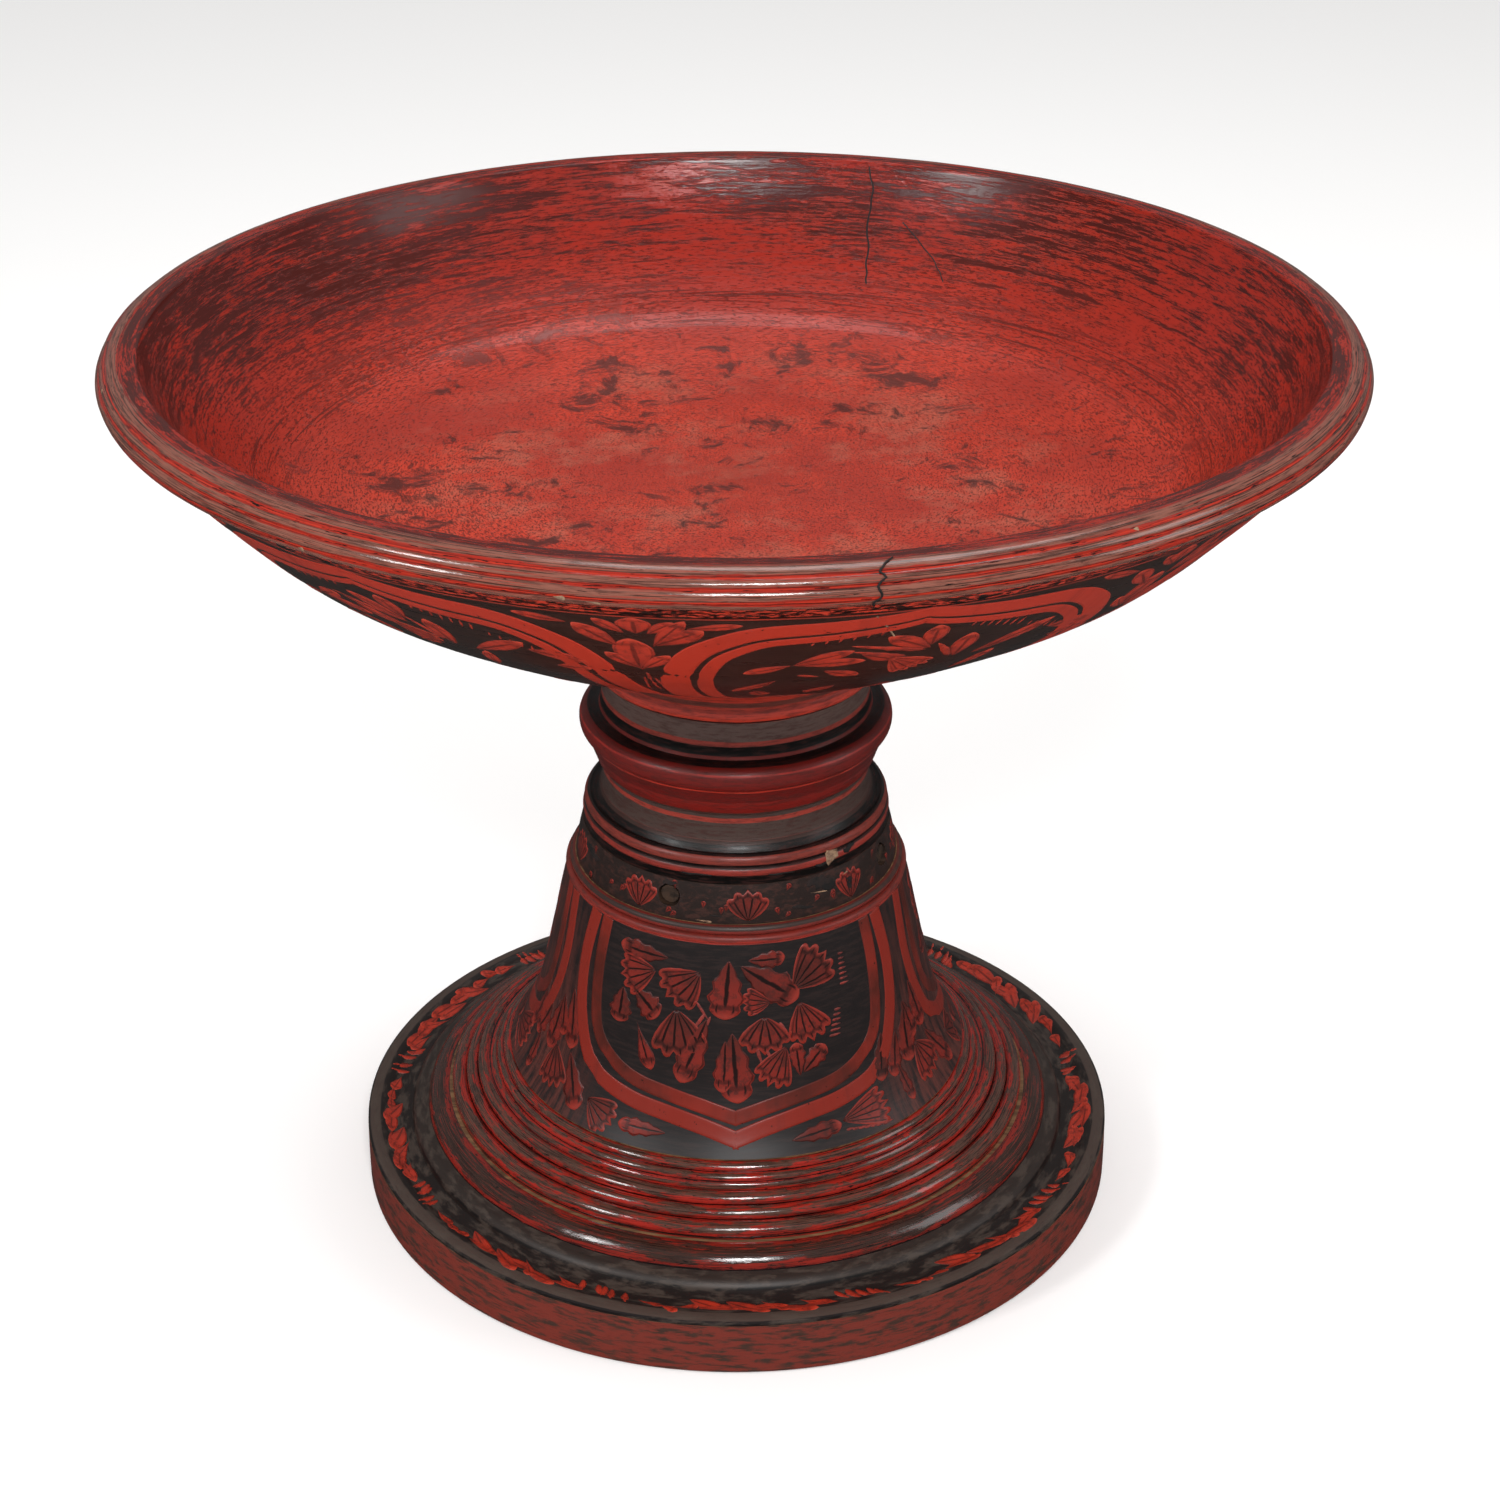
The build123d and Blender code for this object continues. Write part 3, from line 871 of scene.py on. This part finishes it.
def paintLine(bm, outline, path, width, kind="band", shade=0.2, shift=0.0, centre=0.0, mirror=1,
              mitred=False, taper=0.0):
    # path: (angle, along) points; shift moves the line sideways, and taper narrows its far end
    paint, across, cell = lines[kind]
    smooth = [path[0]] + curvePoints(path, 1.0)
    marks = [0.0]
    for a, b in zip(smooth, smooth[1:]):
        scale = perDegree(outline, (a[1] + b[1]) / 2)
        marks.append(marks[-1] + math.hypot((b[0] - a[0]) * scale, b[1] - a[1]))
    lastRun = (smooth[-1][0] - smooth[-2][0]) * perDegree(outline, smooth[-1][1])
    slope = (smooth[-1][1] - smooth[-2][1]) / lastRun if mitred else 0.0
    past = brush["overlap"] if mitred else 0

    def place(x, t):
        off = (shift + x * width / 2) * (1 - taper * t ** 6)
        where = t * (marks[-1] + off * slope + past)
        i = min(max(bisect.bisect_right(marks, where), 1), len(marks) - 1)
        a, b = smooth[i - 1], smooth[i]
        angle, along = between(a, b, (where - marks[i - 1]) / (marks[i] - marks[i - 1]))
        scale = perDegree(outline, along)
        right, below = (b[0] - a[0]) * scale, b[1] - a[1]
        size = math.hypot(right, below)
        return centre + mirror * (angle - below / size * off / scale), along + right / size * off

    paintPatch(bm, outline, across, max(6, round(marks[-1] / cell)), 1, paint, shade, place)


def paintComb(bm, outline, start, end, count, length, width, turn=90.0):
    # a row of short strokes from one (angle, along) to another
    for i in range(count):
        share = i / (count - 1)
        longer = 0.7 + 0.5 * share
        paintMotif(bm, outline, "stroke", *between(start, end, share), length * longer, turn, width)


def paintMarks(bm, outline, at, kind, rows):
    for angle, height, length, turn, width in rows:
        paintMotif(bm, outline, kind, angle, at(height), length, turn, width)


def placed(path, at):
    return [(angle, at(height)) for angle, height in path]


def finishPainting(bm, name, colours=paints):
    bmesh.ops.remove_doubles(bm, verts=bm.verts, dist=1e-6)
    bmesh.ops.dissolve_degenerate(bm, edges=bm.edges, dist=1e-7)
    bm.normal_update()
    bmesh.ops.solidify(bm, geom=bm.faces[:], thickness=brush["thick"] * mm)
    piece = finishMesh(bm, name, colours)
    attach(piece, "root")


def varied(draw, angle, along, length, turn, width, much):
    # the same motif as another stroke of the same hand would make it
    return (
        angle + draw.uniform(-0.8, 0.8) * much, along + draw.uniform(-0.9, 0.9) * much,
        length * (1 + draw.uniform(-0.08, 0.08) * much), turn + draw.uniform(-7, 7) * much,
        width * (1 + draw.uniform(-0.12, 0.12) * much),
    )


# Bell painting

bellPaint = {
    "turns": [0, 120, 240],
    "longer": 1.1, "wider": {"leaf": 1.38, "fan": 1.38}, "otherWider": 1.15,
    "motifs": [
        ("leaf", -21.5, 122.6, 19, -89, 6), ("fan", -25.5, 117, 15, -71, 12),
        ("fan", -11, 119, 16, -45, 14), ("leaf", -2, 124, 21, -4, 10), ("leaf", 1.6, 122, 23, 55, 10),
        ("fan", 10.7, 108, 10, -89, 8), ("leaf", 4, 124, 12.5, 87, 5), ("fan", 17.7, 111.7, 18, 129, 14),
        ("fan", 19.5, 106.4, 16, 13, 12), ("leaf", -36.4, 107, 13, 0, 7.5), ("leaf", -32, 107.7, 12, 54, 8),
        ("drop", -30.5, 96.4, 18, 21, 6), ("fan", -18, 104, 18.5, 10, 16),
        ("leaf", -8.5, 101.6, 25, -19, 8), ("leaf", -1, 96.7, 25, 4, 10), ("leaf", -3, 93.7, 18.6, 0, 6),
        ("fan", 8.6, 102.4, 14, 0, 17), ("fan", 14.7, 90.3, 15.5, -29, 10),
        ("leaf", 18.3, 78.4, 12, -176, 5), ("leaf", 19.3, 79.4, 12, 135, 6),
        ("stroke", -9, 104, 9, -30, 1.6), ("stroke", -7.4, 103, 9, -18, 1.4),
        ("stroke", -12, 108, 8, 35, 1.3), ("stroke", 6, 92, 8, 10, 1.6), ("stroke", 8.4, 91, 6, 22, 1.4),
        ("stroke", 13, 100, 8, 30, 1.5),
        # outside the cartouche
        ("fan", -42, 61.5, 14, 64, 11), ("leaf", -17.8, 58.4, 18, -90, 5), ("leaf", -53, 72.3, 20, 31, 7.5),
        ("fan", 28, 59.4, 21, 94, 9), ("leaf", 14, 56.8, 19, 98, 5), ("leaf", 52.5, 81.3, 16, -19, 6),
        ("leaf", 46.4, 84, 17, -12, 6), ("leaf", 58, 90, 16, 14, 6.5), ("leaf", -62, 88, 20, -8, 8),
        ("leaf", -57, 96, 22, 12, 7), ("fan", 60, 72, 16, 20, 13), ("leaf", 50, 70, 15, 10, 4),
    ],
    "outer": [
        (-52.5, 130), (-54.3, 112), (-53.5, 98), (-51, 87), (-47, 77), (-41, 71), (-30, 67.3), (-18, 65),
        (-8, 62), (0, 58.3),
    ],
    "inner": [
        (-46.6, 130), (-47.3, 113), (-46.3, 97), (-43.8, 86.5), (-38.5, 79.5), (-30, 74.5), (-19, 71.8),
        (-9, 69), (-0.5, 65.6),
    ],
    "lines": [("outer", 6.6, 0.15), ("inner", 5.8, 0.6)],  # path, width, shade
    "combs": [  # from angle and height, to angle and height, strokes, length, width
        (34, 120.5, 33.5, 109, 7, 3.6, 1.2), (30.6, 100, 28, 90.6, 6, 4.4, 1.4),
        (28.5, 56.3, 38.6, 54, 7, 5, 1.3),
    ],
}


def bellAt(height):
    return alongAt(bellOutline, "flank", height)


def paintBell(look):
    draw = random.Random(11)
    bm = startPainting()
    for number, around in enumerate(look["turns"]):
        much = 0 if number == 0 else 1
        for kind, angle, height, length, turn, width in look["motifs"]:
            length *= look["longer"]
            width *= look["wider"].get(kind, look["otherWider"])
            where = varied(draw, angle + around, bellAt(height), length, turn, width, much)
            shade, bend = draw.uniform(0.1, 0.75), draw.uniform(-1, 1)
            paintMotif(bm, bellOutline, kind, *where, shade, bend)
        for path, width, shade in look["lines"]:
            for mirror in (1, -1):
                paintLine(bm, bellOutline, placed(look[path], bellAt), width, shade=shade, centre=around,
                          mirror=mirror, mitred=True)
        for a0, z0, a1, z1, *strokes in look["combs"]:
            paintComb(bm, bellOutline, (a0 + around, bellAt(z0)), (a1 + around, bellAt(z1)), *strokes)
    finishPainting(bm, "bell_painting")


paintBell(bellPaint)

# Collar painting

collarPaint = {
    "fans": 9, "firstFan": 4.4, "fanHeight": 137.6, "fanLength": 12.4, "firstWidth": 21,
    "dots": [
        (10.2, 138.0), (12.6, 137.0), (13.8, 147.8), (-9.6, 140.5), (-7.4, 140.0), (-15.2, 141.0),
    ],
    "crack": [(-9, 139.5, 5, 88, 0.8)], "crackEdge": [(-14, 137.4, 6.5, 86, 1.0)],
    "scars": [
        # the scars: near-black patches, painted shade for chipped holes in the face
        (26, 148.4, 13, 84, 3.6), (29.5, 147.2, 9, 80, 5.6), (44, 146.0, 5, 8, 3.4), (20, 141.0, 9, 80, 1.5),
        (-27, 149.0, 6, 100, 2.0), (-70, 147, 12, 86, 3), (105, 148, 14, 92, 4), (170, 146, 10, 80, 3),
    ],
    "splinters": [(27, 145.0, 8, 82, 0.6), (41, 147.4, 4, 100, 0.7), (107, 146, 9, 92, 0.8)],
}


def collarAt(height):
    return alongAt(collarOutline, "face", height)


def paintCollar(look):
    draw = random.Random(23)
    bm = startPainting()
    for i in range(look["fans"]):
        centre = look["firstFan"] + i * 360 / look["fans"]
        width = look["firstWidth"] if i == 0 else draw.uniform(14, 18)
        paintMotif(bm, collarOutline, "fan", centre, collarAt(look["fanHeight"]), look["fanLength"], 180,
                   width, draw.uniform(0.1, 0.5))
        for angle, height in look["dots"]:
            where = varied(draw, centre + angle, collarAt(height), 3.4, draw.uniform(120, 200), 2.2, 1)
            paintMotif(bm, collarOutline, "drop", *where, draw.uniform(0.1, 0.6))
    for kind, rows in (("gap", "crack"), ("chip", "crackEdge"), ("scar", "scars"), ("chip", "splinters")):
        paintMarks(bm, collarOutline, collarAt, kind, look[rows])
    finishPainting(bm, "collar_painting")


paintCollar(collarPaint)

# Bowl painting: a row of arches round the outside, with a palmette between each two

bowlPaint = {
    "arches": 7, "firstPeak": 16.5,
    "edge": [
        (-24.6, 240), (-24.8, 252), (-24.6, 270), (-23.8, 290), (-21.5, 306), (-18, 316), (-14, 321.5),
        (-8, 323), (-3, 324.5), (0, 326.3),
    ],
    "lines": [(10.2, 4.6, 0.15), (5.6, 13.8, 0.3)],  # width, shift, shade
    "cartouche": [
        ("petal", -10.9, 298.6, 13.6, -65, 4), ("petal", -10.6, 299.2, 16, 118, 5),
        ("petal", -10.8, 298.6, 19, 92, 5), ("stroke", -10.1, 291.6, 6.7, 66, 2),
        ("petal", -7.5, 293.8, 12.5, 54, 4.4), ("petal", -12, 288, 21.7, -33, 4),
        ("petal", -4.5, 303, 13, 57, 4.4), ("petal", 2.4, 302, 18, -130, 5.4),
        ("stroke", 2.3, 301, 24, -110, 3), ("stroke", 0.5, 298.4, 17.7, -115, 2.6),
        ("petal", 2.2, 303.7, 13.8, -174, 5.6), ("petal", 6, 293.5, 16.5, -179, 5.6),
        ("stroke", 5.5, 294, 14, -153, 2.6), ("petal", 7.9, 293, 24, 130, 5),
        ("petal", 15.3, 300, 17.7, 81, 5.4), ("petal", 17.5, 292, 10, 96, 5.4),
        ("petal", 8.2, 281, 17.5, 159, 4), ("fan", -1.3, 298.4, 16.5, 45, 9),
        ("petal", -14, 276, 16, 12, 5), ("petal", -5, 279, 18, -14, 5), ("petal", 3, 272, 18, 10, 5),
        ("petal", 11, 270, 16, -12, 5), ("fan", -9, 262, 15, 0, 12), ("fan", 7, 262, 15, 0, 12),
        ("stroke", -1, 268, 22, 0, 1.6),
    ],
    "combs": [
        (5.1, 312, 10.5, 306.7, 7, 5, 1.3), (-9.5, 310, -3.5, 313, 6, 4.6, 1.2),
        (12, 305, 16.5, 298, 6, 4.4, 1.2),
    ],
    "palmette": [
        ("petal", 0.3, 296, 22, 180, 9), ("petal", 0.5, 295.6, 14, 144, 4.6),
        ("petal", 0.5, 295.6, 14, -144, 4.6), ("petal", 2.3, 310.4, 17.6, 130, 6.6),
        ("petal", 2.3, 310.4, 19.4, 152, 4.6), ("petal", -0.9, 309, 17, -145, 6.4),
        ("petal", 0.1, 317, 11, -138, 3.8), ("petal", 1.1, 317, 10, 180, 8),
        ("petal", 2, 317, 11, 138, 3.8), ("stroke", 0.7, 294, 29, 0, 1.6),
        ("stroke", 0.2, 290, 24, -5, 1.2), ("stroke", 1.2, 290, 24, 5, 1.2),
        ("petal", 5.4, 320.5, 15, 100, 3.4), ("petal", -4.6, 320.5, 15, -100, 3.4),
    ],
    "scratch": [(11.8, 324.6), (13.0, 319), (14.9, 308.9)],
}


def bowlAt(height):
    return alongAt(bowlOutline, "outside", height)


def paintBowl(look):
    draw = random.Random(37)
    bm = startPainting()
    for i in range(look["arches"]):
        peak = look["firstPeak"] + i * 360 / look["arches"]
        for mirror in (1, -1):
            for width, shift, shade in look["lines"]:
                paintLine(bm, bowlOutline, placed(look["edge"], bowlAt), width, shift=shift, shade=shade,
                          centre=peak, mirror=mirror, mitred=True, taper=0.35)
        much = 0 if i == 0 else 0.9
        for kind, angle, height, length, turn, width in look["cartouche"]:
            where = varied(draw, angle + peak, bowlAt(height), length * 1.2, turn, width * 1.6, much)
            shade, bend = draw.uniform(0.05, 0.5), draw.uniform(-0.8, 0.8)
            paintMotif(bm, bowlOutline, kind, *where, shade, bend)
        for a0, z0, a1, z1, *strokes in look["combs"]:
            paintComb(bm, bowlOutline, (a0 + peak, bowlAt(z0)), (a1 + peak, bowlAt(z1)), *strokes, turn=170)
        axis = peak - 180 / look["arches"]
        for kind, angle, height, length, turn, width in look["palmette"]:
            where = varied(draw, angle + axis, bowlAt(height), length * 1.15, turn, width * 1.5, much)
            paintMotif(bm, bowlOutline, kind, *where, draw.uniform(0.05, 0.4))
    paintLine(bm, bowlOutline, placed(look["scratch"], bowlAt), 0.8, kind="chip")
    finishPainting(bm, "bowl_painting", brightPaints)


paintBowl(bowlPaint)

# Foot painting: sprays of curved strokes in the channel, each with a radius where others have a height

footPaint = {
    "sprays": 9, "firstSpray": 4.0,
    "strokes": [
        ("petal", -11, 132.5, 13, 62, 5), ("petal", -9.5, 136.5, 12, 88, 5),
        ("petal", -5, 133, 14, 70, 5.6), ("petal", -3.5, 137, 13, 84, 4.6), ("drop", 0.5, 132, 11, 52, 5),
        ("petal", 1.5, 136.5, 14, 80, 5.6), ("petal", 6.5, 137.5, 11, 96, 4.6),
        ("drop", 6.5, 133, 10, 60, 4.6), ("stroke", 11.5, 131.5, 9, 34, 2.6),
        ("stroke", 13.2, 132, 9.6, 28, 2.6), ("stroke", 14.9, 132.5, 10.4, 22, 2.6),
        ("stroke", 16.6, 133, 11, 16, 2.6), ("stroke", 18.3, 133.5, 11, 10, 2.4),
        ("drop", 20.5, 136, 9, 76, 4), ("drop", 23.5, 137.5, 8, 80, 3.6), ("drop", -14.5, 138, 8, 96, 3.6),
    ],
    "longer": 1.25, "shorter": 0.8, "wider": 1.25,  # shorter where a stroke crosses the channel
}


def paintFoot(look):
    draw = random.Random(41)
    bm = startPainting()
    for i in range(look["sprays"]):
        centre = look["firstSpray"] + i * 360 / look["sprays"]
        for kind, angle, radius, length, turn, width in look["strokes"]:
            along = alongAt(discOutline, "channel", radius, axis=0)
            length *= look["longer"] if abs(turn) > 45 else look["shorter"]
            where = varied(draw, angle + centre, along, length, turn, width * look["wider"], 1)
            shade, bend = draw.uniform(-0.5, 0.2), draw.uniform(-2, 2)
            paintMotif(bm, discOutline, kind, *where, shade, bend)
    finishPainting(bm, "foot_painting", brightPaints)


paintFoot(footPaint)
print("painting made")

# Age: cracks in the dish, a break across the rim and chips along it, a plug and scars on the stem

ageMarks = {
    "dishCracks": [
        ([(164.7, 343.0), (163.8, 334.7), (163.9, 322.2), (163.1, 310.0), (162.6, 303.0)], 1.0),
        ([(159.7, 324.4), (157.3, 318.9), (154.2, 312.5), (152.4, 306.7)], 0.7),
    ],
    "rimBreak": [  # on the rim, a share of the way across the reeds stands for a height
        (12.6, 0.03), (11.9, 0.16), (11.3, 0.3), (11.6, 0.42), (10.9, 0.5), (11.3, 0.66), (10.7, 0.8),
        (11.0, 0.97),
    ],
    "rimChips": [
        (-13.5, 0.74, 4.0, 80, 2.2), (-36, 0.76, 2.6, 80, 2.0), (-11, 0.78, 5.0, 80, 1.2),
        (33, 0.30, 2.4, 80, 1.6), (-74, 0.4, 3, 80, 1.6),
    ],
    "plug": [(38, 158.2), (37.4, 155.8), (38, 153.4)], "plugWidth": 5.4,
    "stemScars": [
        (30, 154.0, 9, 92, 1.4), (43, 156.2, 7, 80, 2.2), (-20, 153.2, 12, 90, 1.0),
        (12, 152.6, 10, 92, 0.9),
    ],
}


def wallAt(height):
    return alongAt(bowlOutline, "wall", height)


def rimAt(share):
    first, last = rimOutline["marks"]["reeds"]
    return first + (last - first) * share


def jagged(path, draw, aside, pieces=4):
    # extra points between the given ones, each a little to one side
    out = [path[0]]
    for a, b in zip(path, path[1:]):
        for k in range(1, pieces + 1):
            angle, along = between(a, b, k / pieces)
            out.append((angle + draw.uniform(-aside, aside), along))
    return out


def markAge(look):
    draw = random.Random(53)
    bm = startPainting()
    for crack, width in look["dishCracks"]:
        paintLine(bm, bowlOutline, jagged(placed(crack, wallAt), draw, 0.14), width, kind="gap")
    finishPainting(bm, "dish_cracks")
    bm = startPainting()
    paintLine(bm, rimOutline, jagged(placed(look["rimBreak"], rimAt), draw, 0.12, 2), 0.35, kind="gap")
    paintMarks(bm, rimOutline, rimAt, "chip", look["rimChips"])
    finishPainting(bm, "rim_marks")
    bm = startPainting()
    paintLine(bm, stemOutline, placed(look["plug"], stemAt), look["plugWidth"], kind="chip")
    paintMarks(bm, stemOutline, stemAt, "scar", look["stemScars"])
    finishPainting(bm, "stem_marks")


markAge(ageMarks)
print("age marks made")


# Stage, lights and camera

stageLook = {
    "floor": "fbfaf9", "floorRough": 0.8, "floorSize": 30,
    "zenith": 0.76, "horizon": 0.5, "below": 0.2, "mirrored": 0.26,
    "aim": (0, 0, 0.2),
    "softboxes": [  # name, direction, distance in m, width, height, watts
        ("frontSoftbox", (0.05, -0.80, 0.62), 1.9, 0.42, 0.28, 20),
        ("leftSoftbox", (-0.72, -0.52, 0.56), 1.8, 0.30, 0.4, 10),
        ("topSoftbox", (0.1, 0.35, 1.0), 1.9, 1.1, 0.9, 11),
        ("rightFill", (1.0, -0.25, 0.45), 2.0, 0.8, 1.0, 7),
    ],
    "lens": 70.06, "cameraPlace": (0.0053, -0.9741, 0.6804), "cameraTilt": 62.635,
}


def softbox(name, direction, distance, width, height, power):
    data = bpy.data.lights.new(name, "AREA")
    data.shape = "RECTANGLE"
    data.size, data.size_y, data.energy = width, height, power
    light = bpy.data.objects.new(name, data)
    bpy.context.collection.objects.link(light)
    aim = Vector(stageLook["aim"])
    light.location = aim + Vector(direction).normalized() * distance
    light.rotation_euler = (aim - light.location).to_track_quat("-Z", "Y").to_euler()


def studioWorld(look):
    # bright above and dim below, and dimmer again where the lacquer mirrors it
    world = bpy.data.worlds.new("paleStudio")
    bpy.context.scene.world = world
    world.use_nodes = True
    tree = world.node_tree
    background = tree.nodes["Background"]
    background.inputs["Color"].default_value = (1, 1, 1, 1)
    direction = addNode(tree, "ShaderNodeTexCoord", {}).outputs["Generated"]
    height = addNode(tree, "ShaderNodeSeparateXYZ", {0: direction}).outputs["Z"]
    parts = []
    for low, high, dark, light in ((0.0, 0.8, "horizon", "zenith"), (-0.25, 0.0, "below", "horizon")):
        limits = {"From Min": low, "From Max": high, "To Min": look[dark], "To Max": look[light]}
        part = addNode(tree, "ShaderNodeMapRange", {"Value": height, **limits})
        parts.append(part.outputs["Result"])
    upper, lower = parts
    strength = sums(tree, "ADD", upper, minus(tree, lower, look["horizon"]))
    mirrored = addNode(tree, "ShaderNodeLightPath", {}).outputs["Is Glossy Ray"]
    strength = times(tree, strength, weighted(tree, 1.0, (mirrored, look["mirrored"] - 1)))
    tree.links.new(strength, background.inputs["Strength"])


def paleFloor(look):
    bm = bmesh.new()
    bmesh.ops.create_grid(bm, x_segments=2, y_segments=2, size=look["floorSize"])
    finish, tree, shader = newFinish("paleFloor")
    shader.inputs["Base Color"].default_value = tint(look["floor"])
    shader.inputs["Roughness"].default_value = look["floorRough"]
    floor = finishMesh(bm, "floor", [finish])
    floor.visible_glossy = False


for box in stageLook["softboxes"]:
    softbox(*box)
studioWorld(stageLook)
paleFloor(stageLook)

cameraData = bpy.data.cameras.new("camera")
cameraData.lens = stageLook["lens"]
camera = bpy.data.objects.new("camera", cameraData)
camera.location = stageLook["cameraPlace"]
camera.rotation_euler = (math.radians(stageLook["cameraTilt"]), 0, 0)
bpy.context.collection.objects.link(camera)
bpy.context.scene.camera = camera
bpy.context.scene.view_settings.view_transform = "Standard"
print("stage set")
